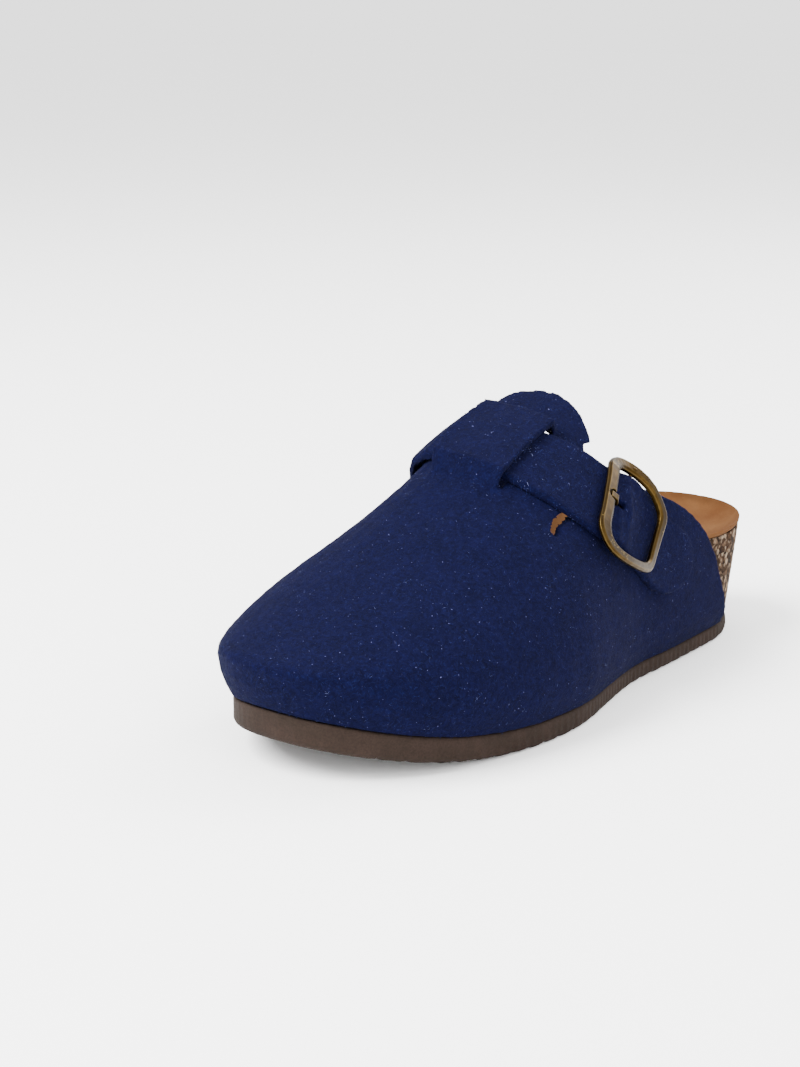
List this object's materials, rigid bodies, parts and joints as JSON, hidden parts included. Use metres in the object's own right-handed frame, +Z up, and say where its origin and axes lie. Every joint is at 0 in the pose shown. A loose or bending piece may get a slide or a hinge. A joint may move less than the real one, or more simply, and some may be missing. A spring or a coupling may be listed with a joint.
{
  "type": "felt slipper",
  "caption": "Left open-backed felt clog slipper on a cork footbed and grooved sole, with a strap that runs under a bridge of the upper and through a metal buckle.",
  "frame": {"origin": "on the floor, on the tread midway along the sole, on the centre line of the heel", "axes": "+Z up, toe towards -Y, heel towards +Y, outer (lateral) side of this left shoe towards +X"},
  "size_m": [0.11, 0.263, 0.1059],
  "materials": {
    "sole_rubber": "matt foamed sole sheet, fine wavy tread",
    "cork": "pressed cork granules, sealed",
    "insole_suede": "tan suede, short nap",
    "wool_felt": "thick navy wool felt, brushed",
    "antique_brass": "antiqued, satin"
  },
  "bodies": {
    "root": {"outsole": "sole_rubber", "cork_footbed": "cork", "insole": "insole_suede", "upper": "wool_felt", "strap": "wool_felt", "buckle_frame": "antique_brass", "buckle_prong": "antique_brass"}
  },
  "joints": []
}
